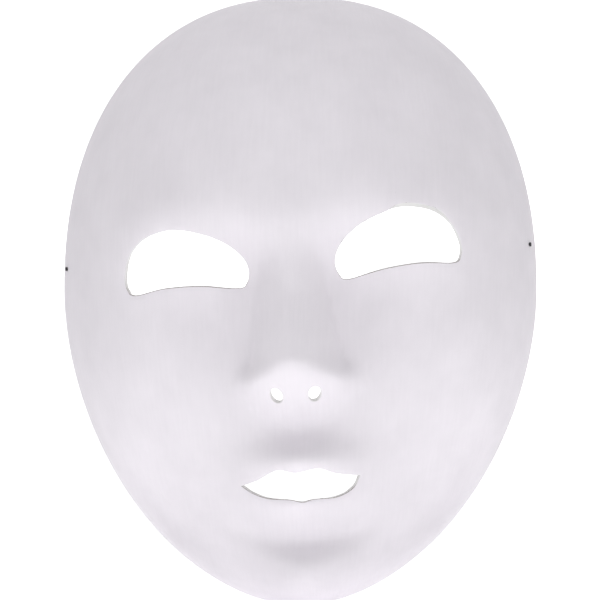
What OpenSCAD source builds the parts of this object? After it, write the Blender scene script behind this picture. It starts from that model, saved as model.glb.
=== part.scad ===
// Full-face costume mask: a stiff moulded face between a woven cover and a soft lining, and a flat
// elastic strap that swings on a rivet at each temple.
// Frame: +Z up as worn, the face looks along -Y, and the cut rim lies in the plane Y = 0.
// Origin: in the rim plane, on the nose's axis, level with the two rivets. Millimetres.

/* [Outline] */
// Half of the width across the temples
half_w = 91; // [84:1:98]
// Height of the outline above its widest line
top_h = 113; // [105:1:120]
// Height of the outline below its widest line
bottom_h = 121; // [112:1:128]
// Height of the widest line from the origin
widest_z = -13; // [-18:1:-8]
// Fullness of the forehead's curve, where 2 is an ellipse
top_n = 2.25; // [2:0.05:2.6]
// Fullness of the jaw's curve, where 2 is an ellipse
bottom_n = 1.85; // [1.75:0.05:2.2]
// Turn of the cut outline against the face, seen from behind
rim_turn = 3; // [0:0.5:4]

/* [Depth and relief] */
// Depth of the plain dish, from the rim to the middle of the face
dish_d = 58; // [50:1:64]
// Angle that the dish wraps through, where 90 is upright at the rim
wrap = 87; // [84:0.5:88]
// Rise of the nose
nose_h = 23; // [16:0.5:26]
// Rise of the nostril wings
wing_h = 4; // [2:0.5:7]
// Rise of the brows
brow_h = 11; // [7:0.5:12]
// Depth of the eye sockets
socket_d = 8.5; // [5:0.5:11]
// Depth of the hollow beside each inner eye corner
inner_d = 5.5; // [2:0.5:7]
// Depth of the hollow under each cheek
jowl_d = 15; // [10:0.5:17]
// Rise of the muzzle and the upper lip
muzzle_h = 15.5; // [12:0.5:18]
// Rise of the lower lip
lip_h = 9.5; // [7:0.5:12]
// Depth of the crease under the lower lip
crease_d = 6; // [3:0.5:8]
// Rise of the chin
chin_h = 18; // [14:0.5:20]
// Rise of the forehead
forehead_h = 11; // [7:0.5:13]
// Depth of the temples
temple_d = 8; // [4:0.5:9]

/* [Layers] */
// Thickness of the woven cover
cover_t = 0.35; // [0.25:0.05:0.5]
// Thickness of the moulded shell
shell_t = 0.8; // [0.6:0.1:1]
// Thickness of the soft lining
lining_t = 0.4; // [0.3:0.05:0.5]

/* [Openings] */
// Half of the distance between the eye openings' centres
eye_x = 39.7; // [37:0.1:42]
// How far the cut eye holes sit out of level, left up and right down
eye_shift = 1.8; // [0:0.1:2.5]
// How far each eye hole is turned, in degrees
eye_turn = 3.4; // [0:0.2:5]
// Half of the distance between the nostrils' centres
nostril_x = 7; // [6.5:0.1:8]
// Height of the nostrils' centres
nostril_z = -50.8; // [-52:0.1:-50]
// Width and height of a nostril
nostril_size = [4.4, 5.7]; // [3:0.1:6]

/* [Strap] */
// Width of the elastic
strap_w = 6; // [5:0.5:6.5]
// Thickness of one ply of the elastic
strap_t = 0.9; // [0.7:0.1:1]
// Drop of the hanging strap below the rivets
strap_drop = 100; // [94:1:101]
// Length of the doubled end below the rivet
fold_l = 15; // [12:1:18]
// Length of the strap's end above the rivet
tab_l = 3.5; // [3:0.5:4]

/* [Rivets] */
// Distance of the rivets in front of the rim
rivet_in = 10.5; // [9:0.5:12]
// Radius of the rivet's shank
shank_r = 0.6; // [0.5:0.05:0.7]
// Radius of the rivet's set end, on the outside
set_r = 0.8; // [0.75:0.05:1]
// Radius of the rivet's head, on the wearer's side
head_r = 2.2; // [2:0.1:2.6]
// Radius of the washer
washer_r = 2.8; // [2.6:0.1:3.2]

/* [Hidden] */
$fn = 48;

GRID = 36;           // cells along each side of the face's mesh
CURVE = 5;           // steps between two points of a cut outline
ARC = 48;            // steps along the strap's round part
FADE = 0.3;          // share of the dish next to the rim where the relief dies out
LEFT = 1;            // the wearer's left is +X
RIGHT = -1;

NOSE_ROOT = 15;      // heights of the nose's root, tip and base
NOSE_TIP = -37;
NOSE_BASE = -67;
TIP_BEND = 5;        // how far the tip's lower edge falls, and the base rises, 20 mm off the middle
BASE_BEND = 15;
NOSE_W = [8, 17];    // half-widths at the root and at the tip
UNDER_W = 17;        // half-width of the nose's underside
FLANK_N = 2.2;       // fullness of the nose's cross-section, where 1 is a tent
FOOT_SOFT = 0.03;    // softness of the fold where its sides meet the cheeks

// Soft bumps: x, z, half-width, half-height, rise, bend. One off the middle has a twin across it.
BUMPS = [
    [16.5, -45.5, 4.5, 6.5, wing_h, 0],
    [39, 16.5, 42, 19.5, brow_h, -4.5],
    [27, -7.5, 22, 31, -socket_d, 0],
    [15.5, -3.5, 8.5, 11.5, -inner_d, 0],
    [46.5, -95, 31, 42, -jowl_d, 0],
    [79.5, 19, 16, 36, -temple_d, 0],
    [0, 55, 47.5, 39, forehead_h, 0],
    [0, -75.5, 18, 8.5, muzzle_h, -1.5],
    [0, -91, 16.5, 5.5, lip_h, 1],
    [0, -106.5, 21, 5.5, -crease_d, 2.5],
    [0, -123.5, 18, 21, chin_h, 0]
];

// Eye hole about its own centre, as cut on the wearer's left, anticlockwise from the inner corner
EYE = [
    [-22.5, -8.8], [-19, -10.3], [-5.5, -8.1], [8, -7.5], [19.5, -8.7], [22.4, -6.5], [22.8, -1.5],
    [19.8, 6], [12.8, 11.4], [2, 13.3], [-9.3, 10.2], [-17, 6], [-22, 0.8], [-23.7, -4]
];
// Mouth hole: upper edge from the wearer's right corner to the left, and lower edge back again
MOUTH_TOP = [[-23.5, -84.6], [-17, -82.4], [-8.8, -78.4], [-2, -79.5], [6.2, -78.3], [12.5, -80.8], [21, -82.6]];
MOUTH_LOW = [[21, -82.6], [18.3, -87], [12.5, -89.7], [4, -89.7], [0, -90.6], [-5, -89.5], [-13.5, -89.1],
             [-19.5, -87.2], [-23.5, -84.6]];
NOSTRIL_LEAN = 22;   // lean of the nostrils' long axes

STRAP_GAP = 3.4;     // from the lining's face at the rivet to the strap
WASHER_T = 0.4;
HEAD_T = 0.7;
RUN = 0.05;          // running clearance on the rivet's shank
PLAY = 0.15;         // end play between the washer and the rivet's head
SET_OUT = 0.8;       // how far the set end stands out of the cover
BORE_R = 0.35;       // hollow of the tubular rivet
THREAD = 0.3;        // thickness of the sewing thread
STITCH_L = 1.8;
STITCH_ROWS = [-7, -12];
STITCH_Y = [-1.8, 0, 1.8];

WALL_LEAN = 24;      // lean of the wall at the rivets, off upright to the rim plane

wall_t = cover_t + shell_t + lining_t;
left_wall = wall_x(LEFT, rivet_in, 0.8*half_w, half_w, 24);
right_wall = wall_x(RIGHT, rivet_in, 0.8*half_w, half_w, 24);
strap_in = wall_t/cos(WALL_LEAN) + STRAP_GAP;
strap_left = left_wall - strap_in;
strap_right = -right_wall + strap_in;
strap_mid = (strap_left + strap_right)/2;
strap_a = (strap_left - strap_right)/2;
leg_l = fold_l + 1;

// ---- the face's surface ----

function ease(t) = let(c = min(1, max(0, t))) c*c*(3 - 2*c);

function hill(b, x, z) =
    let(u = (x - b[0])/b[2], v = (z - b[1] - b[5]*u*u)/b[3]) exp(-u*u - v*v);

function bump(b, x, z) = b[4]*(hill(b, x, z) + (b[0] > 0 ? hill(b, -x, z) : 0));

function nose(x, z) =
    let(
        off = x*x/400,
        tip = NOSE_TIP - TIP_BEND*off,
        low = min(NOSE_BASE + BASE_BEND*min(off, 1.2), tip - 8),
        run = min(1, max(0, (NOSE_ROOT - z)/(NOSE_ROOT - tip))),
        along = min(1, max(0, (NOSE_ROOT - z)/(NOSE_ROOT - NOSE_TIP))),
        profile = z >= tip ? ease(2.2*run)*pow(run, 1.4) : ease((z - low)/(tip - low)),
        w = NOSE_W[0] + (NOSE_W[1] - NOSE_W[0])*along,
        slope = 1 - pow(abs(x)/w, FLANK_N),
        flank = (slope + sqrt(slope*slope + FOOT_SOFT*FOOT_SOFT))/(1 + sqrt(1 + FOOT_SOFT*FOOT_SOFT)),
        pad = exp(-pow(x/UNDER_W, 4)),
        below = ease((tip - z)/8 + 0.35)
    )
    nose_h*profile*(flank + (pad - flank)*below);

function add(list, i = 0) = i < len(list) ? list[i] + add(list, i + 1) : 0;

function relief(x, z) = nose(x, z) + add([for (b = BUMPS) bump(b, x, z)]);

// Which ring of the outline a place lies on: 0 is the middle, 1 is the rim
function ring(x, z) =
    let(
        x0 = x*cos(rim_turn) - (z - widest_z)*sin(rim_turn),
        z0 = x*sin(rim_turn) + (z - widest_z)*cos(rim_turn),
        n = z0 >= 0 ? top_n : bottom_n,
        h = z0 >= 0 ? top_h : bottom_h
    )
    pow(pow(abs(x0)/half_w, n) + pow(abs(z0)/h, n), 1/n);

function depth_at(x, z) =
    let(a = asin(min(1, ring(x, z)*sin(wrap))))
    dish_d*(cos(a) - cos(wrap))/(1 - cos(wrap)) + relief(x, z)*ease((1 - a/wrap)/FADE);

// Point of the cover's face for a place in the unit disc
function face_point(p, q) =
    let(
        a = atan2(q, p),
        n = q >= 0 ? top_n : bottom_n,
        h = q >= 0 ? top_h : bottom_h,
        k = pow(pow(abs(cos(a)), n) + pow(abs(sin(a)), n), -1/n)*sin(wrap*norm([p, q]))/sin(wrap),
        x0 = half_w*k*cos(a),
        z0 = h*k*sin(a),
        x = x0*cos(rim_turn) + z0*sin(rim_turn),
        z = z0*cos(rim_turn) - x0*sin(rim_turn) + widest_z
    )
    [x, -depth_at(x, z), z];

function face_normal(p, q, e = 0.004) =
    let(n = cross(face_point(p + e, q) - face_point(p - e, q), face_point(p, q + e) - face_point(p, q - e)))
    n/norm(n);

// Grid line i of the face's mesh, closer together in the middle of the face
function grid_line(i) = let(t = 2*i/GRID - 1) t*(0.65 + 0.35*t*t);

function disc(i, j) =
    let(u = grid_line(i), v = grid_line(j)) [u*sqrt(1 - v*v/2), v*sqrt(1 - u*u/2)];

function layer_point(i, j, inset) =
    let(
        d = disc(i, j),
        c = face_point(d[0], d[1]) - inset*face_normal(d[0], d[1]),
        on_rim = i == 0 || j == 0 || i == GRID || j == GRID
    )
    [c[0], on_rim ? 0 : c[1], c[2]];

function sheet_points(inset) = [for (i = [0:GRID], j = [0:GRID]) layer_point(i, j, inset)];

function cell(i, j) = i*(GRID + 1) + j;

function rim_loop() = concat(
    [for (j = [0:GRID - 1]) cell(0, j)],
    [for (i = [0:GRID - 1]) cell(i, GRID)],
    [for (j = [GRID:-1:1]) cell(GRID, j)],
    [for (i = [GRID:-1:1]) cell(i, 0)]
);

// Distance from the middle to the cover's face at the rivets' height, by halving
function wall_x(side, depth, low, high, steps) =
    let(m = (low + high)/2)
    steps == 0 ? m
    : depth_at(side*m, 0) > depth ? wall_x(side, depth, m, high, steps - 1)
    : wall_x(side, depth, low, m, steps - 1);

// ---- cut outlines ----

function spline(a, b, c, d, t) =
    b + t*(c - a)/2 + t*t*(a - 2.5*b + 2*c - d/2) + t*t*t*(3*(b - c) + d - a)/2;

function closed_curve(pts) =
    let(n = len(pts))
    [for (i = [0:n - 1], k = [0:CURVE - 1])
        spline(pts[(i + n - 1) % n], pts[i], pts[(i + 1) % n], pts[(i + 2) % n], k/CURVE)];

function open_curve(pts) =
    let(n = len(pts), ends = concat([2*pts[0] - pts[1]], pts, [2*pts[n - 1] - pts[n - 2]]))
    [for (i = [0:n - 2], k = [0:CURVE - 1]) spline(ends[i], ends[i + 1], ends[i + 2], ends[i + 3], k/CURVE)];

module through() {
    translate([0, 1, 0]) rotate([90, 0, 0]) linear_extrude(100) children();
}

module eye_hole(side) {
    translate([side*eye_x, side*eye_shift]) mirror([side == RIGHT ? 1 : 0, 0])
        rotate(side*eye_turn) polygon(closed_curve(EYE));
}

module nostril(side) {
    translate([side*nostril_x, nostril_z]) rotate(-side*NOSTRIL_LEAN) scale(nostril_size/2) circle(1, $fn = 24);
}

module mouth_hole() {
    polygon(concat(open_curve(MOUTH_TOP), open_curve(MOUTH_LOW)));
}

module openings() {
    through() {
        eye_hole(LEFT);
        eye_hole(RIGHT);
        nostril(LEFT);
        nostril(RIGHT);
        mouth_hole();
    }
}

// ---- the face's three layers ----

module along_x(x) {
    translate([x, -rivet_in, 0]) rotate([0, 90, 0]) children();
}

module rivet_holes() {
    along_x(0.8*half_w) cylinder(r = shank_r, h = half_w, $fn = 24);
    along_x(-1.8*half_w) cylinder(r = shank_r, h = half_w, $fn = 24);
}

module layer(outside, inside) {
    n = (GRID + 1)*(GRID + 1);
    loop = rim_loop();
    front = [for (i = [0:GRID - 1], j = [0:GRID - 1], t = [0:1])
        let(a = cell(i, j), b = cell(i, j + 1), c = cell(i + 1, j + 1), d = cell(i + 1, j))
        let(rising = (i < GRID/2) == (j < GRID/2))
        rising ? (t == 0 ? [a, b, c] : [a, c, d]) : (t == 0 ? [a, b, d] : [b, c, d])];
    back = [for (f = front) [n + f[0], n + f[2], n + f[1]]];
    rim = [for (i = [0:len(loop) - 1], t = [0:1])
        let(a = loop[i], b = loop[(i + 1) % len(loop)])
        t == 0 ? [b, a, n + a] : [b, n + a, n + b]];
    resize([0, 0, 0]) difference() {
        polyhedron(concat(sheet_points(outside), sheet_points(inside)), concat(front, back, rim));
        openings();
        rivet_holes();
    }
}

module face_fabric() {
    color("white") layer(0, cover_t);
}

module face_shell() {
    color("gainsboro") layer(cover_t, cover_t + shell_t);
}

module face_lining() {
    color("ghostwhite") layer(cover_t + shell_t, wall_t);
}

// ---- the strap and its fixings ----

// Half-ellipse of the strap from the left leg to the right one
function strap_path(inset) = [for (k = [0:ARC])
    [strap_mid + (strap_a - inset)*cos(180*k/ARC), -leg_l - (strap_drop - leg_l - inset)*sin(180*k/ARC)]];

// The turn over the top of a doubled end, from its outer side to its inner side
function strap_turn(side) = [for (a = [0:15:180])
    [strap_mid + side*(strap_a - strap_t + strap_t*cos(a)), tab_l - strap_t + strap_t*sin(a)]];

// The step at the foot of a doubled end, from the fold to the single ply
function strap_step(side) = [for (plies = [2, 1]) [strap_mid + side*(strap_a - plies*strap_t), -fold_l]];

function reversed(list) = [for (i = [len(list) - 1:-1:0]) list[i]];

module strap_line() {
    polygon(concat(
        reversed(strap_turn(LEFT)), strap_path(0), strap_turn(RIGHT), strap_step(RIGHT),
        reversed(strap_path(strap_t)), reversed(strap_step(LEFT))
    ));
}

module head_strap() {
    color("black") difference() {
        translate([0, strap_w/2 - rivet_in, 0]) rotate([90, 0, 0]) linear_extrude(strap_w) strap_line();
        along_x(-half_w) cylinder(r = shank_r + RUN, h = 2*half_w);
    }
}

// One stitch is a flat loop of thread round both plies
module stitch(side) {
    outer = [2*strap_t + 2*THREAD, THREAD, STITCH_L];
    x = strap_mid + side*(strap_a - strap_t);
    translate([x, 0, 0]) difference() {
        cube(outer, center = true);
        cube([2*strap_t, 2*THREAD, STITCH_L - 2*THREAD], center = true);
    }
}

module strap_stitches(side) {
    color("dimgray") for (z = STITCH_ROWS, y = STITCH_Y) translate([0, y - rivet_in, z]) stitch(side);
}

module strap_stitches_left() {
    strap_stitches(LEFT);
}

module strap_stitches_right() {
    strap_stitches(RIGHT);
}

// Tubular rivet along its own +Z, with the set end outermost and z = 0 on the cover's face
module rivet_body() {
    low = -strap_in - 2*strap_t - WASHER_T - PLAY;
    rotate_extrude() polygon([
        [0, low - HEAD_T], [0.7*head_r, low - HEAD_T], [head_r, low - HEAD_T/3], [head_r, low],
        [shank_r, low], [shank_r, 0], [set_r, 0.2], [set_r, SET_OUT - 0.2],
        [0.8*set_r, SET_OUT], [BORE_R, SET_OUT - 0.1], [BORE_R, -1.5], [0, -1.5]
    ]);
}

module rivet_left() {
    color("dimgray") along_x(left_wall) rivet_body();
}

module rivet_right() {
    color("dimgray") along_x(-right_wall) mirror([0, 0, 1]) rivet_body();
}

module washer() {
    difference() {
        cylinder(r = washer_r, h = WASHER_T);
        translate([0, 0, -1]) cylinder(r = shank_r + RUN, h = WASHER_T + 2);
    }
}

module washer_left() {
    color("silver") along_x(strap_left - 2*strap_t - WASHER_T) washer();
}

module washer_right() {
    color("silver") along_x(strap_right + 2*strap_t) washer();
}

face_shell();
face_fabric();
face_lining();
head_strap();
strap_stitches_left();
strap_stitches_right();
rivet_left();
rivet_right();
washer_left();
washer_right();
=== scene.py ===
"""Looks of a blank full-face costume mask: cloth cover, moulded shell, soft lining and elastic strap.

The face's surface, its cut outlines and the strap's path repeat the formulas and the values of part.scad,
in millimetres.
"""

import math

import bmesh
import bpy
import numpy as np
from mathutils import Matrix, Vector
from mathutils.geometry import delaunay_2d_cdt


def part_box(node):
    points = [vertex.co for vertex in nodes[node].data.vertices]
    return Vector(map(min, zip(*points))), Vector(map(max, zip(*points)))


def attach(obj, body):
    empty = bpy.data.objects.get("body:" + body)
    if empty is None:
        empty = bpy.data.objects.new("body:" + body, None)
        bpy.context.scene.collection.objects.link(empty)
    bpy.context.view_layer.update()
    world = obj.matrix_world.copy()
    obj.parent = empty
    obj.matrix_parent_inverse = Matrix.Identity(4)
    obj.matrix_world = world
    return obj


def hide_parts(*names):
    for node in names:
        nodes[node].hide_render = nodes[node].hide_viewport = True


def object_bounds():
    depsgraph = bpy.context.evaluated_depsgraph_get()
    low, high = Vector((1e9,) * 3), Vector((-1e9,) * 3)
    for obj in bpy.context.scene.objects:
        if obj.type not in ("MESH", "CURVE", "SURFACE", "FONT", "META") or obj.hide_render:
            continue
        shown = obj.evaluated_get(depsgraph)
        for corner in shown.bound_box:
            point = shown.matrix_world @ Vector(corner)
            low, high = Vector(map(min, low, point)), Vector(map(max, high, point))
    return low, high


MM = 0.001
LEFT, RIGHT = 1, -1  # the wearer's left is +X

# Outline and dish
HALF_W = 91
TOP_H = 113
BOTTOM_H = 121
WIDEST_Z = -13
TOP_N = 2.25
BOTTOM_N = 1.85
RIM_TURN = math.radians(3)
DISH_D = 58
WRAP = math.radians(87)
FADE = 0.3

# Nose
NOSE_H = 23
NOSE_ROOT = 15
NOSE_TIP = -37
NOSE_BASE = -67
TIP_BEND = 5
BASE_BEND = 15
NOSE_W = (8, 17)
UNDER_W = 17
FLANK_N = 2.2
FOOT_SOFT = 0.03

# Soft bumps: x, z, half-width, half-height, rise, bend. One off the middle has a twin across it.
BUMPS = (
    (16.5, -45.5, 4.5, 6.5, 4, 0),
    (39, 16.5, 42, 19.5, 11, -4.5),
    (27, -7.5, 22, 31, -8.5, 0),
    (15.5, -3.5, 8.5, 11.5, -5.5, 0),
    (46.5, -95, 31, 42, -15, 0),
    (79.5, 19, 16, 36, -8, 0),
    (0, 55, 47.5, 39, 11, 0),
    (0, -75.5, 18, 8.5, 15.5, -1.5),
    (0, -91, 16.5, 5.5, 9.5, 1),
    (0, -106.5, 21, 5.5, -6, 2.5),
    (0, -123.5, 18, 21, 18, 0),
)

# Cut outlines
EYE = (
    (-22.5, -8.8), (-19, -10.3), (-5.5, -8.1), (8, -7.5), (19.5, -8.7), (22.4, -6.5), (22.8, -1.5),
    (19.8, 6), (12.8, 11.4), (2, 13.3), (-9.3, 10.2), (-17, 6), (-22, 0.8), (-23.7, -4),
)
EYE_X = 39.7
EYE_SHIFT = 1.8
EYE_TURN = math.radians(3.4)
MOUTH_TOP = (
    (-23.5, -84.6), (-17, -82.4), (-8.8, -78.4), (-2, -79.5), (6.2, -78.3), (12.5, -80.8), (21, -82.6),
)
MOUTH_LOW = (
    (21, -82.6), (18.3, -87), (12.5, -89.7), (4, -89.7), (0, -90.6), (-5, -89.5), (-13.5, -89.1),
    (-19.5, -87.2), (-23.5, -84.6),
)
NOSTRIL_X = 7
NOSTRIL_Z = -50.8
NOSTRIL_SIZE = (4.4, 5.7)
NOSTRIL_LEAN = math.radians(22)

# Layers, as distances in from the cover's face, a hair apart
COVER = (0, 0.34)
SHELL = (0.36, 1.14)
LINING = (1.16, 1.55)

# Strap and its fixings
RIVET_Y = -10.5
STRAP_W = 6
STRAP_T = 0.9
STRAP_DROP = 100
FOLD_L = 15  # the doubled end, below the rivet
TAB_L = 3.5  # the strap's end, above the rivet
BORE_R = 0.65
THREAD = 0.3
STITCH_L = 1.8
STITCH_ROWS = (-7, -12)
STITCH_Y = (-1.8, 0, 1.8)

# Light from the floor: strength, half-width, and where it starts and ends along Y, in metres
GLOW = (
    (1.0, 0.6, -1.4, -0.35),
    (0.52, 0.25, -0.35, -0.02),
    (0.45, 0.4, -0.02, 0.2),
    (0.3, 1.2, 0.1, 1.6),
)
GLOW_SOFT = 0.06
WALL_GLOW = 0.8
LIGHT_SIZE = (0.8, 0.8)
WHITE = (1, 1, 1, 1)

# How finely things are made
CLOTH = np.array([121.0, 141.0])  # half-width and half-height of the cover laid flat
CELL = 1.5  # spacing of the face's mesh
CUT_STEPS = 14  # steps between two points of a cut outline
ROUND_STEPS = 4  # steps round a layer's cut edge
RIM_STEPS = 460
SHARP = math.radians(50)  # steps in a surface beyond this angle stay sharp
FIBRE_STEPS = 7

random = np.random.default_rng(56)


# ---- the face's surface ----


def ease(t):
    c = np.clip(t, 0, 1)
    return c * c * (3 - 2 * c)


def hill(x, z, wide, high, bend):
    u = x / wide
    v = (z - bend * u * u) / high
    return np.exp(-u * u - v * v)


def nose(x, z):
    off = x * x / 400
    tip = NOSE_TIP - TIP_BEND * off
    low = np.minimum(NOSE_BASE + BASE_BEND * np.minimum(off, 1.2), tip - 8)
    run = np.clip((NOSE_ROOT - z) / (NOSE_ROOT - tip), 0, 1)
    along = np.clip((NOSE_ROOT - z) / (NOSE_ROOT - NOSE_TIP), 0, 1)
    ridge = ease(2.2 * run) * run**1.4
    under = ease((z - low) / (tip - low))
    width = NOSE_W[0] + (NOSE_W[1] - NOSE_W[0]) * along
    slope = 1 - (np.abs(x) / width) ** FLANK_N
    flank = (slope + np.sqrt(slope**2 + FOOT_SOFT**2)) / (1 + math.sqrt(1 + FOOT_SOFT**2))
    pad = np.exp(-((x / UNDER_W) ** 4))
    below = ease((tip - z) / 8 + 0.35)
    return NOSE_H * np.where(z >= tip, ridge, under) * (flank + (pad - flank) * below)


def relief(x, z):
    total = nose(x, z)
    for at_x, at_z, wide, high, rise, bend in BUMPS:
        total += rise * hill(x - at_x, z - at_z, wide, high, bend)
        if at_x > 0:
            total += rise * hill(-x - at_x, z - at_z, wide, high, bend)
    return total


def face(places):
    """Points of the cover's face for places on the flat cloth, whose middle is (0, 0)."""
    across, up = (places / CLOTH).T
    turn = np.arctan2(up, across)
    share = np.hypot(across, up)
    power = np.where(up >= 0, TOP_N, BOTTOM_N)
    height = np.where(up >= 0, TOP_H, BOTTOM_H)
    norm = (np.abs(np.cos(turn)) ** power + np.abs(np.sin(turn)) ** power) ** (1 / power)
    reach = np.sin(WRAP * share) / math.sin(WRAP) / norm
    x0 = HALF_W * reach * np.cos(turn)
    z0 = height * reach * np.sin(turn)
    x = x0 * math.cos(RIM_TURN) + z0 * math.sin(RIM_TURN)
    z = z0 * math.cos(RIM_TURN) - x0 * math.sin(RIM_TURN) + WIDEST_Z
    dish = DISH_D * (np.cos(WRAP * share) - math.cos(WRAP)) / (1 - math.cos(WRAP))
    return np.stack([x, -dish - relief(x, z) * ease((1 - share) / FADE), z], axis=1)


def face_normals(places, step=0.5):
    across = face(places + (step, 0)) - face(places - (step, 0))
    up = face(places + (0, step)) - face(places - (0, step))
    normal = np.cross(across, up)
    return normal / np.linalg.norm(normal, axis=1, keepdims=True)


def inset_points(places, inset):
    return face(places) - inset * face_normals(places)


def cloth_places(outline):
    """Places on the flat cloth of points of the front view."""
    x, z = outline[:, 0], outline[:, 1] - WIDEST_Z
    x0 = x * math.cos(RIM_TURN) - z * math.sin(RIM_TURN)
    z0 = x * math.sin(RIM_TURN) + z * math.cos(RIM_TURN)
    power = np.where(z0 >= 0, TOP_N, BOTTOM_N)
    across = x0 / HALF_W
    up = z0 / np.where(z0 >= 0, TOP_H, BOTTOM_H)
    ring = (np.abs(across) ** power + np.abs(up) ** power) ** (1 / power)
    share = np.arcsin(np.minimum(1, ring * math.sin(WRAP))) / WRAP
    turn = np.arctan2(up, across)
    return np.stack([share * np.cos(turn), share * np.sin(turn)], axis=1) * CLOTH


# ---- cut outlines, anticlockwise as seen from the front ----


def spline(points, closed):
    pts = np.array(points, float)
    if closed:
        ends = np.vstack([pts[-1:], pts, pts[:2]])
    else:
        ends = np.vstack([2 * pts[:1] - pts[1:2], pts, 2 * pts[-1:] - pts[-2:-1]])
    a, b, c, d = ends[:-3], ends[1:-2], ends[2:-1], ends[3:]
    t = (np.arange(CUT_STEPS) / CUT_STEPS)[:, None, None]
    square = a - 2.5 * b + 2 * c - d / 2
    cube = (3 * (b - c) + d - a) / 2
    curve = b + t * (c - a) / 2 + t**2 * square + t**3 * cube
    return curve.transpose(1, 0, 2).reshape(-1, 2)


def turned(points, angle):
    x, z = points.T
    cosine, sine = math.cos(angle), math.sin(angle)
    return np.stack([x * cosine - z * sine, x * sine + z * cosine], axis=1)


def eye_outline(side):
    outline = turned(spline(EYE, closed=True), side * EYE_TURN)
    if side == RIGHT:
        outline = (outline * (-1, 1))[::-1]
    return outline + (side * EYE_X, side * EYE_SHIFT)


def nostril_outline(side):
    turn = np.linspace(0, 2 * math.pi, 40, endpoint=False)
    circle = np.stack([np.cos(turn), np.sin(turn)], axis=1) * NOSTRIL_SIZE / 2
    return turned(circle, -side * NOSTRIL_LEAN) + (side * NOSTRIL_X, NOSTRIL_Z)


def mouth_outline():
    return np.vstack([spline(MOUTH_TOP, closed=False), spline(MOUTH_LOW, closed=False)])[::-1]


def widened(outline, by):
    """The outline moved outwards by a distance, or by one distance for each point."""
    along = np.roll(outline, -1, axis=0) - np.roll(outline, 1, axis=0)
    outwards = np.stack([along[:, 1], -along[:, 0]], axis=1)
    outwards /= np.linalg.norm(outwards, axis=1, keepdims=True)
    return outline + outwards * np.reshape(by, (-1, 1))


def wander(count, waves, size):
    """A closed row of small smooth ups and downs, as a hand-cut edge has."""
    turn = np.linspace(0, 2 * math.pi, count, endpoint=False)
    total = np.zeros(count)
    for wave in range(2, waves):
        total += random.normal() * np.cos(wave * turn + random.uniform(0, 2 * math.pi))
    return size * total / math.sqrt(waves)


# ---- meshes ----


class Build:
    """A mesh put together bit by bit: points in millimetres, and their places on the flat cloth or strap."""

    def __init__(self):
        self.points = []
        self.places = []
        self.faces = []
        self.finishes = []
        self.count = 0

    def add_points(self, points, places):
        """Returns the numbers that the new points have."""
        first = self.count
        self.points.append(points)
        self.places.append(places)
        self.count += len(points)
        return np.arange(first, self.count)

    def add_faces(self, faces, finish):
        self.faces.extend(np.asarray(faces).tolist())
        self.finishes.extend([finish] * len(faces))

    def add_band(self, near, far, finish, closed=True):
        """Quads between two rows of points."""
        a, b = near, far
        if closed:
            a, b = np.append(a, a[0]), np.append(b, b[0])
        self.add_faces(np.stack([a[:-1], a[1:], b[1:], b[:-1]], axis=1), finish)

    def make(self, name, *materials):
        mesh = bpy.data.meshes.new(name)
        mesh.from_pydata(np.vstack(self.points) * MM, [], self.faces)
        mesh.polygons.foreach_set("material_index", self.finishes)
        for material in materials:
            mesh.materials.append(material)
        corner = np.zeros(len(mesh.loops), int)
        mesh.loops.foreach_get("vertex_index", corner)
        flat = mesh.uv_layers.new(name="flat")
        flat.uv.foreach_set("vector", (np.vstack(self.places)[corner] * MM).astype(np.float32).ravel())
        mesh.shade_smooth()
        mesh.set_sharp_from_angle(angle=SHARP)
        obj = bpy.data.objects.new(name, mesh)
        bpy.context.scene.collection.objects.link(obj)
        return obj


def inside(points, outline):
    """Which points lie inside a closed outline."""
    x, z = points[:, :1], points[:, 1:]
    ax, az = outline.T
    bx, bz = np.roll(outline, -1, axis=0).T
    crosses = (az > z) != (bz > z)
    rise = np.where(bz == az, 1, bz - az)
    return (crosses & (x < ax + (z - az) * (bx - ax) / rise)).sum(axis=1) % 2 == 1


def lattice(loops):
    """Places on the flat cloth in even triangles, clear of the rim and of every hole."""
    across = np.arange(-CLOTH[0], CLOTH[0], CELL)
    rows = np.arange(-CLOTH[1], CLOTH[1], CELL * math.sqrt(3) / 2)
    places = np.vstack([
        np.stack([across + (i % 2) * CELL / 2, np.full(len(across), row)], axis=1)
        for i, row in enumerate(rows)
    ])
    places = places[np.hypot(*(places / CLOTH).T) < 1 - 0.6 * CELL / CLOTH[0]]
    for loop in loops:
        gap = np.linalg.norm(places[:, None] - loop[None], axis=2).min(axis=1)
        places = places[(gap > 0.5 * CELL) & ~inside(places, loop)]
    return places


def triangles_between(places, rim, loops):
    """The cloth's places, its triangles, and the numbers of the rim's and the loops' places."""
    outlines = [rim, *loops]
    everything = np.vstack([places, *outlines])
    numbers = []
    edges = []
    first = len(places)
    for outline in outlines:
        row = np.arange(first, first + len(outline))
        numbers.append(row)
        edges.extend(np.stack([row, np.roll(row, -1)], axis=1).tolist())
        first += len(outline)
    found = delaunay_2d_cdt([Vector(place) for place in everything], edges, [], 0, 1e-7)
    faces = np.array(found[2])
    origin = np.array([sources[0] for sources in found[3]])
    faces = origin[faces]
    for row, loop in zip(numbers[1:], loops):
        on_loop = np.isin(faces, row).all(axis=1)
        middle = everything[faces].mean(axis=1)
        on_loop[on_loop] = inside(middle[on_loop], loop)
        faces = faces[~on_loop]
    return everything, faces, numbers


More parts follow.
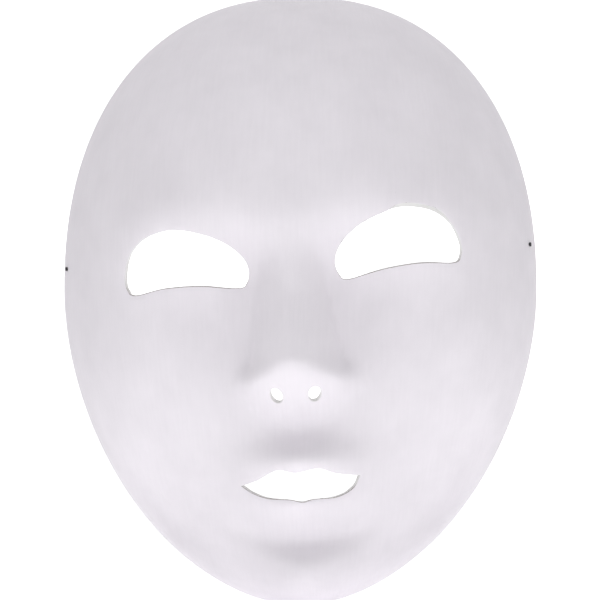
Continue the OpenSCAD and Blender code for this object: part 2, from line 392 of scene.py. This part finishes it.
def face_layer(inset, cuts, round_by):
    """One layer of the mask between two insets, with rounded cut edges, which have finish 1."""
    turn = np.linspace(0, 2 * math.pi, RIM_STEPS, endpoint=False)
    rim = np.stack([np.cos(turn), np.sin(turn)], axis=1) * CLOTH
    loops = [cloth_places(widened(cut, round_by)) for cut in cuts]
    places, faces, numbers = triangles_between(lattice(loops), rim, loops)
    build = Build()
    sides = []
    for depth in inset:
        points = inset_points(places, depth)
        points[numbers[0], 1] = 0
        sides.append(build.add_points(points, places))
    front, back = sides
    build.add_faces(front[faces], 0)
    build.add_faces(back[faces[:, ::-1]], 0)
    build.add_band(back[numbers[0]], front[numbers[0]], 1)
    middle, half = sum(inset) / 2, (inset[1] - inset[0]) / 2
    for cut, row in zip(cuts, numbers[1:]):
        last = front[row]
        for step in range(1, ROUND_STEPS):
            turn = math.pi * step / ROUND_STEPS
            ring = cloth_places(widened(cut, round_by * (1 - math.sin(turn))))
            new = build.add_points(inset_points(ring, middle - half * math.cos(turn)), ring)
            build.add_band(last, new, 1)
            last = new
        build.add_band(last, back[row], 1)
    return build


def add_tube(build, points, radii, finish, sides=5):
    """A thin round fibre along points, closed at both ends."""
    along = np.gradient(points, axis=0)
    along /= np.linalg.norm(along, axis=1, keepdims=True)
    side = np.cross(along, (0.31, 0.17, 0.94))
    side /= np.linalg.norm(side, axis=1, keepdims=True)
    up = np.cross(along, side)
    turn = np.linspace(0, 2 * math.pi, sides, endpoint=False)
    rings = []
    for i, radius in enumerate(radii):
        ring = points[i] + radius * (np.cos(turn)[:, None] * side[i] + np.sin(turn)[:, None] * up[i])
        rings.append(build.add_points(ring, np.zeros((sides, 2))))
    for near, far in zip(rings, rings[1:]):
        build.add_band(near, far, finish)
    build.add_faces([rings[0][::-1]], finish)
    build.add_faces([rings[-1]], finish)


# ---- materials ----


def add_node(tree, kind, inputs=None, **settings):
    """Adds a node; an input is a value, or another node's output to link."""
    node = tree.nodes.new(kind)
    for key, value in settings.items():
        setattr(node, key, value)
    for key, value in (inputs or {}).items():
        if isinstance(value, bpy.types.NodeSocket):
            tree.links.new(value, node.inputs[key])
        else:
            node.inputs[key].default_value = value
    return node


def maths(tree, operation, first, second=0.0):
    return add_node(tree, "ShaderNodeMath", {0: first, 1: second}, operation=operation).outputs[0]


def noise(tree, where, scale, stretch=(1, 1, 1), detail=3.0, roughness=0.55):
    """Noise from 0 to 1, with features 1/scale metres across, drawn out by stretch."""
    spread = add_node(tree, "ShaderNodeVectorMath", {0: where, 1: stretch}, operation="MULTIPLY")
    made = add_node(
        tree, "ShaderNodeTexNoise",
        {"Vector": spread.outputs[0], "Scale": scale, "Detail": detail, "Roughness": roughness},
    )
    return made.outputs["Fac"]


def between(tree, share, low, high, from_low=0.0, from_high=1.0):
    """A number that goes from low to high as share goes from from_low to from_high."""
    made = add_node(
        tree, "ShaderNodeMapRange",
        {"Value": share, "From Min": from_low, "From Max": from_high, "To Min": low, "To Max": high},
        clamp=True,
    )
    return made.outputs["Result"]


def colours(tree, share, first, second):
    made = add_node(tree, "ShaderNodeMix", data_type="RGBA")
    tree.links.new(share, made.inputs["Factor"])
    for socket, value in (("A", first), ("B", second)):
        target = next(s for s in made.inputs if s.name == socket and s.type == "RGBA")
        if isinstance(value, bpy.types.NodeSocket):
            tree.links.new(value, target)
        else:
            target.default_value = (*value, 1)
    return next(s for s in made.outputs if s.type == "RGBA")


def dress(tree, surface, colour, roughness, normal=None):
    """Links a colour, a roughness and, where there is one, a normal to the surface shader."""
    tree.links.new(colour, surface.inputs["Base Color"])
    tree.links.new(roughness, surface.inputs["Roughness"])
    if normal is not None:
        tree.links.new(normal, surface.inputs["Normal"])


def bump(tree, height, strength, distance, before=None):
    inputs = {"Height": height, "Strength": strength, "Distance": distance}
    if before is not None:
        inputs["Normal"] = before
    return add_node(tree, "ShaderNodeBump", inputs).outputs["Normal"]


def shader(name, **plain):
    """A material with its node tree, its surface shader and the two kinds of place its pattern may use."""
    made = bpy.data.materials.new(name)
    made.use_nodes = True
    tree = made.node_tree
    surface = tree.nodes["Principled BSDF"]
    for key, value in plain.items():
        surface.inputs[key.replace("_", " ")].default_value = value
    where = add_node(tree, "ShaderNodeTexCoord")
    return made, tree, surface, where.outputs["UV"], where.outputs["Object"]


def weave(tree, flat, pitch):
    """Height of a plain weave from 0 to 1, a little uneven, for threads one pitch apart."""
    uneven = add_node(tree, "ShaderNodeTexNoise", {"Vector": flat, "Scale": 260.0, "Detail": 2.0})
    shifted = add_node(
        tree, "ShaderNodeVectorMath",
        {0: uneven.outputs["Color"], 1: (pitch, pitch, 0), 2: flat}, operation="MULTIPLY_ADD",
    )
    parts = add_node(tree, "ShaderNodeSeparateXYZ", {0: shifted.outputs[0]})
    waves = [
        maths(tree, "SINE", maths(tree, "MULTIPLY", parts.outputs[axis], 2 * math.pi / pitch))
        for axis in ("X", "Y")
    ]
    return between(tree, maths(tree, "MULTIPLY", *waves), 0.0, 1.0, -1.0, 1.0)


def make_cover_cloth(name, bare, shade_and_soil):
    """White plain-weave cloth with faint upright slubs and a few specks; its second colour is painted shade
    in the gaps between the threads, and the tone of its patches and specks.
    """
    plain = {"Specular_IOR_Level": 0.25, "Sheen_Weight": 0.12, "Sheen_Roughness": 0.5}
    made, tree, surface, flat, _ = shader(name, **plain)
    threads = weave(tree, flat, 0.00042)
    slubs = noise(tree, flat, 900.0, (1, 0.09, 1), 2.0)
    patches = noise(tree, flat, 55.0)
    lint = noise(tree, flat, 1500.0, (1, 0.6, 1), 1.0)
    # Painted shade: the gaps between the threads are coloured darker, more so along the slubs. Patches of
    # darker tone and specks of lint are added to it.
    gaps = between(tree, threads, 0.3, 0.0)
    gap_shade = maths(tree, "MULTIPLY", gaps, between(tree, slubs, 0.2, 1.0, 0.3, 0.7))
    second_tone = maths(tree, "ADD", gap_shade, between(tree, patches, 0.0, 0.35, 0.35, 0.75))
    specks = between(tree, lint, 0.0, 0.6, 0.79, 0.84)
    colour = colours(tree, maths(tree, "ADD", second_tone, specks), bare, shade_and_soil)
    roughness = between(tree, slubs, 0.82, 0.95, 0.3, 0.7)
    soft = bump(tree, slubs, 0.25, 0.0003)
    dress(tree, surface, colour, roughness, bump(tree, threads, 0.35, 0.0001, soft))
    return made


def make_cut_cloth(name, bare, shade_and_soil):
    """The cover's raw edges: pressed fibres, a little darker everywhere, with painted shade where the edge
    faces up.
    """
    made, tree, surface, flat, _ = shader(name, Specular_IOR_Level=0.15)
    facing = add_node(tree, "ShaderNodeNewGeometry").outputs["Normal"]
    upwards = add_node(tree, "ShaderNodeSeparateXYZ", {0: facing}).outputs["Z"]
    fibres = noise(tree, flat, 1600.0)
    # Painted shade: the cut edge is coloured darker the more it faces up, broken up by the fibres. A little
    # of the darkening stays on every edge.
    facing_up = between(tree, upwards, 0.15, 1.0, -0.1, 0.35)
    shade_and_raw_edge = maths(tree, "MULTIPLY", facing_up, between(tree, fibres, 0.5, 1.0, 0.3, 0.6))
    colour = colours(tree, shade_and_raw_edge, bare, shade_and_soil)
    dress(tree, surface, colour, between(tree, fibres, 0.85, 1.0), bump(tree, fibres, 0.6, 0.0002))
    return made


def make_fibre(name, pale, dark):
    """Loose threads, darker along some of their length."""
    made, tree, surface, _, place = shader(name, Specular_IOR_Level=0.2, Sheen_Weight=0.3)
    along = noise(tree, place, 700.0)
    colour = colours(tree, between(tree, along, 0.0, 1.0, 0.35, 0.65), pale, dark)
    dress(tree, surface, colour, between(tree, along, 0.8, 0.95))
    return made


def make_shell_plastic(name, base, dusty):
    """Matt vacuum-formed sheet: a fine grain with faint clouding."""
    made, tree, surface, _, place = shader(name, Specular_IOR_Level=0.4)
    grain = noise(tree, place, 2600.0)
    clouds = noise(tree, place, 90.0)
    colour = colours(tree, between(tree, clouds, 0.0, 0.5, 0.35, 0.7), base, dusty)
    roughness = between(tree, grain, 0.42, 0.6, 0.3, 0.7)
    dress(tree, surface, colour, roughness, bump(tree, grain, 0.3, 0.00005))
    return made


def make_lining_felt(name, base, shade):
    """Soft non-woven lining: short fibres pressed flat in every direction."""
    plain = {"Specular_IOR_Level": 0.15, "Sheen_Weight": 0.25, "Sheen_Roughness": 0.6}
    made, tree, surface, flat, _ = shader(name, **plain)
    lying = noise(tree, flat, 700.0, (1, 0.22, 1))
    crossing = noise(tree, flat, 700.0, (0.22, 1, 1))
    fibres = maths(tree, "MAXIMUM", lying, crossing)
    patches = noise(tree, flat, 70.0)
    gaps = between(tree, fibres, 1.0, 0.0, 0.4, 0.7)
    depth = maths(tree, "MULTIPLY", gaps, between(tree, patches, 0.5, 1.0, 0.3, 0.7))
    colour = colours(tree, depth, base, shade)
    roughness = between(tree, fibres, 0.95, 0.82, 0.4, 0.7)
    dress(tree, surface, colour, roughness, bump(tree, fibres, 0.5, 0.0003))
    return made


def make_elastic(name, base, second_tone):
    """Knitted elastic: fine courses across the ribs, with paler rubbed tops."""
    plain = {"Specular_IOR_Level": 0.3, "Sheen_Weight": 0.35, "Sheen_Roughness": 0.4}
    made, tree, surface, flat, _ = shader(name, **plain)
    parts = add_node(tree, "ShaderNodeSeparateXYZ", {0: flat})
    courses = maths(tree, "SINE", maths(tree, "MULTIPLY", parts.outputs["Y"], 2 * math.pi / 0.0006))
    wales = maths(tree, "SINE", maths(tree, "MULTIPLY", parts.outputs["X"], 2 * math.pi / 0.0005))
    knit = between(tree, maths(tree, "ADD", courses, wales), 0.0, 1.0, -2.0, 2.0)
    rubbed = maths(tree, "MULTIPLY", knit, noise(tree, flat, 400.0))
    colour = colours(tree, between(tree, rubbed, 0.0, 1.0, 0.1, 0.6), base, second_tone)
    dress(tree, surface, colour, between(tree, knit, 0.9, 0.7), bump(tree, knit, 0.7, 0.0002))
    return made


def make_thread(name, base, pale):
    """Twisted polyester thread with a slight gloss."""
    made, tree, surface, _, place = shader(name, Specular_IOR_Level=0.45, Sheen_Weight=0.2)
    strands = noise(tree, place, 4000.0, (1, 1, 0.3))
    colour = colours(tree, between(tree, strands, 0.0, 1.0, 0.4, 0.7), base, pale)
    dress(tree, surface, colour, between(tree, strands, 0.5, 0.7), bump(tree, strands, 0.4, 0.0001))
    return made


def make_metal(name, base, second_tone, metallic, stretch, smooth, rough):
    """Metal with fine marks drawn out by stretch, and rubbed through in places."""
    made, tree, surface, _, place = shader(name, Metallic=metallic)
    marks = noise(tree, place, 6000.0, stretch, 2.0)
    patches = noise(tree, place, 900.0)
    rubbed = between(tree, marks, 0.0, 1.0, 0.4, 0.65)
    wear = maths(tree, "MULTIPLY", rubbed, between(tree, patches, 0.0, 1.0, 0.42, 0.6))
    colour = colours(tree, wear, base, second_tone)
    roughness = between(tree, marks, smooth, rough, 0.35, 0.65)
    dress(tree, surface, colour, roughness, bump(tree, marks, 0.25, 0.00003))
    return made


def glow_patch(tree, parts, strength, half, near, far):
    """Light from one soft-edged part of the floor, half of its width to each side and from near to far."""
    aside = maths(tree, "ABSOLUTE", parts.outputs["X"])
    across = between(tree, aside, strength, 0.0, half - GLOW_SOFT, half + GLOW_SOFT)
    start = between(tree, parts.outputs["Y"], 0.0, 1.0, near - GLOW_SOFT, near + GLOW_SOFT)
    end = between(tree, parts.outputs["Y"], 1.0, 0.0, far - GLOW_SOFT, far + GLOW_SOFT)
    return maths(tree, "MULTIPLY", across, maths(tree, "MULTIPLY", start, end))


def make_paper(name, base, mottle):
    """The white floor and wall, lit from within, as on a light table."""
    made, tree, surface, _, place = shader(name, Specular_IOR_Level=0.1)
    surface.inputs["Emission Color"].default_value = WHITE
    parts = add_node(tree, "ShaderNodeSeparateXYZ", {0: place})
    light = between(tree, parts.outputs["Y"], 0.0, WALL_GLOW, 0.3, 2.4)
    for patch in GLOW:
        light = maths(tree, "ADD", light, glow_patch(tree, parts, *patch))
    tree.links.new(light, surface.inputs["Emission Strength"])
    pulp = noise(tree, place, 300.0)
    dress(tree, surface, colours(tree, pulp, base, mottle), between(tree, pulp, 0.9, 1.0))
    return made


# ---- the mask's soft parts ----


def loose_fibres(build, outline, spots):
    """Frayed fibres at spots of a cut outline, each (share round it, how many, how far they spread)."""
    grow = np.linspace(0, 1, FIBRE_STEPS)[:, None]
    arch = np.sin(np.linspace(0.2, 3.0, FIBRE_STEPS))[:, None]
    for share, many, spread in spots:
        for _ in range(many):
            at = int(len(outline) * (share + random.normal() * spread)) % len(outline)
            start = outline[at]
            away = widened(outline, 1.0)[at] - start
            along = np.array([-away[1], away[0]]) * random.choice([-1, 1])
            reach = random.uniform(0.5, 1.9)
            curl = random.uniform(-0.7, 0.7)
            flat = start + away * (0.15 + 0.45 * grow * (1 - 0.6 * grow) * abs(curl)) + along * reach * grow
            flat = flat + away * curl * (grow - 0.5) ** 2 * 0.5
            places = cloth_places(flat)
            lift = 0.06 + 0.25 * random.uniform() * arch
            points = face(places) + lift * face_normals(places)
            add_tube(build, points, np.linspace(0.05, 0.025, FIBRE_STEPS), 2)


def make_cover(left_eye, right_eye, mouth, nostrils, materials):
    """The cover, cut back along the top of the left eye, so that the shell's edge shows there."""
    bearing = np.arctan2(left_eye[:, 1] - EYE_SHIFT, left_eye[:, 0] - EYE_X)
    start = ease((bearing - math.radians(18)) / math.radians(20))
    end = ease((math.radians(106) - bearing) / math.radians(25))
    set_back = widened(left_eye, 1.3 * start * end + wander(len(left_eye), 24, 0.05))
    cuts = [set_back, widened(right_eye, wander(len(right_eye), 24, 0.04)), mouth, *nostrils]
    build = face_layer(COVER, cuts, 0.22)
    mouth_spots = [(0.93, 16, 0.02), (0.84, 10, 0.03), (0.55, 12, 0.02), (0.66, 8, 0.03)]
    loose_fibres(build, mouth[::-1], mouth_spots)
    loose_fibres(build, set_back, [(0.62, 8, 0.03), (0.72, 5, 0.04)])
    return build.make("mask_cover", *materials)


def make_shell(cuts, materials):
    return face_layer(SHELL, cuts, 0.12).make("mask_shell", *materials)


def make_lining(cuts, materials):
    cuts = [widened(cut, 0.15 + wander(len(cut), 24, 0.05)) for cut in cuts]
    return face_layer(LINING, cuts, 0.15).make("mask_lining", *materials)


# ---- the strap ----


def strap_centreline(middle, half):
    """Points along the strap, from one doubled end's inner ply to the other's."""
    turn_z = TAB_L - STRAP_T
    leg = FOLD_L + 1
    inner, outer = half - 1.5 * STRAP_T, half - 0.5 * STRAP_T
    ply = np.arange(-FOLD_L, turn_z, 0.5)
    bend = np.linspace(0, math.pi, 13)
    down = np.arange(turn_z, -leg, -0.5)[1:]
    sweep = np.linspace(0, math.pi, 260)
    end = [
        np.stack([np.full(len(ply), inner), ply], axis=1),
        np.stack([
            half - STRAP_T - STRAP_T / 2 * np.cos(bend),
            turn_z + STRAP_T / 2 * np.sin(bend),
        ], axis=1),
        np.stack([np.full(len(down), outer), down], axis=1),
    ]
    round_head = np.stack([
        outer * np.cos(sweep), -leg - (STRAP_DROP - leg - STRAP_T / 2) * np.sin(sweep),
    ], axis=1)
    left = np.vstack(end)
    right = left[::-1] * (-1, 1)
    return np.vstack([left, round_head, right]) + (middle, 0)


def strap_section():
    """Half-thickness and width round the strap: rounded edges and five soft ribs."""
    wide = STRAP_W / 2 * np.sin(np.linspace(-math.pi / 2, math.pi / 2, 41))
    edge = np.sqrt(np.clip(1 - np.abs(2 * wide / STRAP_W) ** 8, 0, 1))
    thick = (0.43 - 0.05 * np.cos(5 * math.pi * wide / STRAP_W) ** 2) * edge
    top = np.stack([thick, wide], axis=1)
    return np.vstack([top, (top * (-1, 1))[-2:0:-1]])


def make_strap(middle, half, materials):
    line = strap_centreline(middle, half)
    along = np.gradient(line, axis=0)
    along /= np.linalg.norm(along, axis=1, keepdims=True)
    length = np.append(0, np.cumsum(np.linalg.norm(np.diff(line, axis=0), axis=1)))
    section = strap_section()
    build = Build()
    rows = []
    for (x, z), (dx, dz), run in zip(line, along, length):
        thick, wide = section.T
        points = np.stack([x - dz * thick, RIVET_Y + wide, z + dx * thick], axis=1)
        rows.append(build.add_points(points, np.stack([wide, np.full(len(wide), run)], axis=1)))
    for near, far in zip(rows, rows[1:]):
        build.add_band(near, far, 0)
    build.add_faces([rows[0][::-1]], 1)
    build.add_faces([rows[-1]], 1)
    strap = build.make("elastic_strap", *materials)
    for side in (LEFT, RIGHT):
        bore(strap, (middle + side * (half - STRAP_T), RIVET_Y, 0), 4 * STRAP_T)
    return strap


def bore(obj, centre, length):
    """Cuts a rivet's hole through obj, along X."""
    mesh = bpy.data.meshes.new("bore")
    tool = bmesh.new()
    bmesh.ops.create_cone(tool, cap_ends=True, segments=32, radius1=BORE_R, radius2=BORE_R, depth=length)
    bmesh.ops.rotate(tool, verts=tool.verts, cent=(0, 0, 0), matrix=Matrix.Rotation(math.pi / 2, 3, "Y"))
    bmesh.ops.translate(tool, verts=tool.verts, vec=centre)
    bmesh.ops.scale(tool, verts=tool.verts, vec=(MM, MM, MM))
    tool.to_mesh(mesh)
    tool.free()
    cutter = bpy.data.objects.new("bore", mesh)
    bpy.context.scene.collection.objects.link(cutter)
    cut = obj.modifiers.new("bore", "BOOLEAN")
    cut.operation = "DIFFERENCE"
    cut.solver = "EXACT"
    cut.object = cutter
    bpy.context.view_layer.update()
    obj.data = bpy.data.meshes.new_from_object(obj.evaluated_get(bpy.context.evaluated_depsgraph_get()))
    obj.modifiers.clear()
    bpy.data.objects.remove(cutter)


def make_stitches(name, x, material):
    """Six loops of two-strand thread round both plies of a doubled end."""
    build = Build()
    radius = THREAD / 2
    deep = STRAP_T + radius - 0.02
    high = STITCH_L / 2 - radius
    corner = 0.14
    turn = np.linspace(0, 2 * math.pi, 96, endpoint=False)
    outwards = np.stack([np.cos(turn), np.sin(turn)], axis=1)
    loop = outwards * corner + np.sign(outwards) * (deep - corner, high - corner)
    dense = np.vstack([
        a + (b - a) * t for a, b in zip(loop, np.roll(loop, -1, axis=0)) for t in np.linspace(0, 1, 3)[:-1]
    ])
    along = np.roll(dense, -1, axis=0) - np.roll(dense, 1, axis=0)
    along /= np.linalg.norm(along, axis=1, keepdims=True)
    run = np.cumsum(np.linalg.norm(dense - np.roll(dense, 1, axis=0), axis=1))
    twists = 8 * math.pi * run / run[-1]
    around = np.linspace(0, 2 * math.pi, 12, endpoint=False)
    for row in STITCH_ROWS:
        for aside in STITCH_Y:
            rings = []
            for (px, pz), (dx, dz), twist in zip(dense, along, twists):
                size = radius * (0.72 + 0.28 * np.abs(np.cos(around - twist)))
                out, wide = size * np.cos(around), size * np.sin(around)
                ring = np.stack([x + px + dz * out, RIVET_Y + aside + wide, row + pz - dx * out], axis=1)
                rings.append(build.add_points(ring, np.stack([wide, out], axis=1)))
            for near, far in zip(rings, rings[1:] + rings[:1]):
                build.add_band(near, far, 0)
    return build.make(name, material)


# ---- the scene ----


def make_camera():
    """The camera looks along +Y from 1.1 m away, and is turned and leans by 3 degrees."""
    yaw = math.radians(3)
    lean = math.radians(3)
    distance = 1.1
    forwards = Vector((-math.sin(yaw), math.cos(yaw), 0))
    level = Vector((math.cos(yaw), math.sin(yaw), 0))
    upright = Vector((0, 0, 1))
    right = level * math.cos(lean) - upright * math.sin(lean)
    up = level * math.sin(lean) + upright * math.cos(lean)
    target = Vector((0, 0, -0.0165))
    data = bpy.data.cameras.new("camera")
    data.lens = 171.5
    data.sensor_width = 36
    camera = bpy.data.objects.new("camera", data)
    bpy.context.scene.collection.objects.link(camera)
    turn = Matrix((right, up, -forwards)).transposed().to_4x4()
    camera.matrix_world = Matrix.Translation(target - forwards * distance) @ turn
    bpy.context.scene.camera = camera


def make_backdrop(floor_z, material):
    """A seamless floor that curves up into a wall, well behind the mask."""
    radius = 0.8
    wall_y = 3.2
    near_y, top_z, half = -3.5, 3.5, 4.0
    turn = np.linspace(0, math.pi / 2, 17)
    bend_y = wall_y - radius + radius * np.sin(turn)
    bend_z = floor_z + radius - radius * np.cos(turn)
    profile = [(near_y, floor_z), *zip(bend_y, bend_z), (wall_y, top_z)]
    points = [(x, y, z) for y, z in profile for x in (-half, half)]
    faces = [(2 * i, 2 * i + 1, 2 * i + 3, 2 * i + 2) for i in range(len(profile) - 1)]
    mesh = bpy.data.meshes.new("backdrop")
    mesh.from_pydata(points, [], faces)
    mesh.materials.append(material)
    mesh.shade_smooth()
    backdrop = bpy.data.objects.new("backdrop", mesh)
    bpy.context.scene.collection.objects.link(backdrop)


def make_light(name, place, power):
    """A soft light of some watts that faces the middle of the mask."""
    data = bpy.data.lights.new(name, "AREA")
    data.shape = "RECTANGLE"
    data.size, data.size_y = LIGHT_SIZE
    data.energy = power
    light = bpy.data.objects.new(name, data)
    light.location = place
    light.rotation_euler = (Vector((0, -0.03, -0.03)) - Vector(place)).to_track_quat("-Z", "Y").to_euler()
    bpy.context.scene.collection.objects.link(light)


def make_lighting():
    world = bpy.data.worlds.new("studio")
    world.use_nodes = True
    sky = world.node_tree.nodes["Background"]
    sky.inputs["Color"].default_value = WHITE
    sky.inputs["Strength"].default_value = 0.54
    bpy.context.scene.world = world
    make_light("top", (0, -0.05, 1.6), 6.0)
    make_light("front", (0, -1.6, 0.03), 2.0)
    view = bpy.context.scene.view_settings
    view.view_transform = "Standard"
    view.look = "None"


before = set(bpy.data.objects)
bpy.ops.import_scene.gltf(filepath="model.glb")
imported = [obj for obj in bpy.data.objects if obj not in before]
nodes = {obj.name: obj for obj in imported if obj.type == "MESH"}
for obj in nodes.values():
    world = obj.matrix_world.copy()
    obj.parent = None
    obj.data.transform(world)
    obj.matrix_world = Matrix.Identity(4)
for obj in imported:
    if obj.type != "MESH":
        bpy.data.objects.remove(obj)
cad_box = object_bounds()

make_camera()
make_lighting()
make_backdrop(cad_box[0].z, make_paper("white_paper", (0.9, 0.9, 0.9), (0.86, 0.86, 0.86)))

# The cover cloth's second colour is painted shade in the weave's gaps, and the tone of its patches and
# specks.
cloth = make_cover_cloth("cover_cloth", (0.845, 0.81, 0.86), (0.72, 0.69, 0.735))
# The cut edge's dark grey-brown is painted shade where the edge faces up, and a little darkening of the raw
# fibres elsewhere.
cloth_edge = make_cut_cloth("cover_cloth_cut", (0.86, 0.845, 0.87), (0.28, 0.24, 0.22))
fibre = make_fibre("loose_fibre", (0.72, 0.7, 0.72), (0.33, 0.29, 0.3))
plastic = make_shell_plastic("shell_plastic", (0.84, 0.835, 0.83), (0.76, 0.755, 0.75))
plastic_edge = make_shell_plastic("shell_plastic_cut", (0.86, 0.855, 0.86), (0.7, 0.69, 0.69))
felt = make_lining_felt("lining_felt", (0.84, 0.83, 0.82), (0.68, 0.67, 0.66))
felt_edge = make_lining_felt("lining_felt_cut", (0.78, 0.77, 0.76), (0.55, 0.53, 0.52))
elastic = make_elastic("ribbed_elastic", (0.025, 0.025, 0.03), (0.075, 0.075, 0.085))
elastic_end = make_elastic("sealed_end", (0.012, 0.012, 0.014), (0.04, 0.04, 0.045))
thread = make_thread("black_thread", (0.03, 0.03, 0.032), (0.11, 0.11, 0.115))
rivet_metal = make_metal(
    "black_oxide", (0.035, 0.035, 0.04), (0.2, 0.19, 0.18), 0.85, (1, 1, 1), 0.32, 0.5,
)
washer_metal = make_metal(
    "brushed_zinc", (0.55, 0.55, 0.56), (0.4, 0.4, 0.41), 1.0, (1, 0.08, 1), 0.25, 0.42,
)

eyes = [eye_outline(side) for side in (LEFT, RIGHT)]
nostrils = [nostril_outline(side) for side in (LEFT, RIGHT)]
mouth = mouth_outline()
cuts = [*eyes, mouth, *nostrils]

cover = make_cover(eyes[0], eyes[1], mouth, nostrils, (cloth, cloth_edge, fibre))
shell = make_shell(cuts, (plastic, plastic_edge))
lining = make_lining(cuts, (felt, felt_edge))

strap_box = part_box("head_strap")
strap_middle = (strap_box[0].x + strap_box[1].x) / 2 / MM
strap_half = (strap_box[1].x - strap_box[0].x) / 2 / MM
strap = make_strap(strap_middle, strap_half, (elastic, elastic_end))
stitches = {
    "left": make_stitches("strap_thread_left", strap_middle + strap_half - STRAP_T, thread),
    "right": make_stitches("strap_thread_right", strap_middle - strap_half + STRAP_T, thread),
}

for piece, node, slot in (
    (cover, "face_fabric", "cover_cloth"),
    (shell, "face_shell", "moulded_shell"),
    (lining, "face_lining", "lining_cloth"),
):
    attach(piece, "mask")
    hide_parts(node)

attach(strap, "strap")
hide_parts("head_strap")
for side, piece in stitches.items():
    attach(piece, "strap")
    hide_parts(f"strap_stitches_{side}")
    nodes[f"rivet_{side}"].material_slots[0].material = rivet_metal
    nodes[f"washer_{side}"].material_slots[0].material = washer_metal
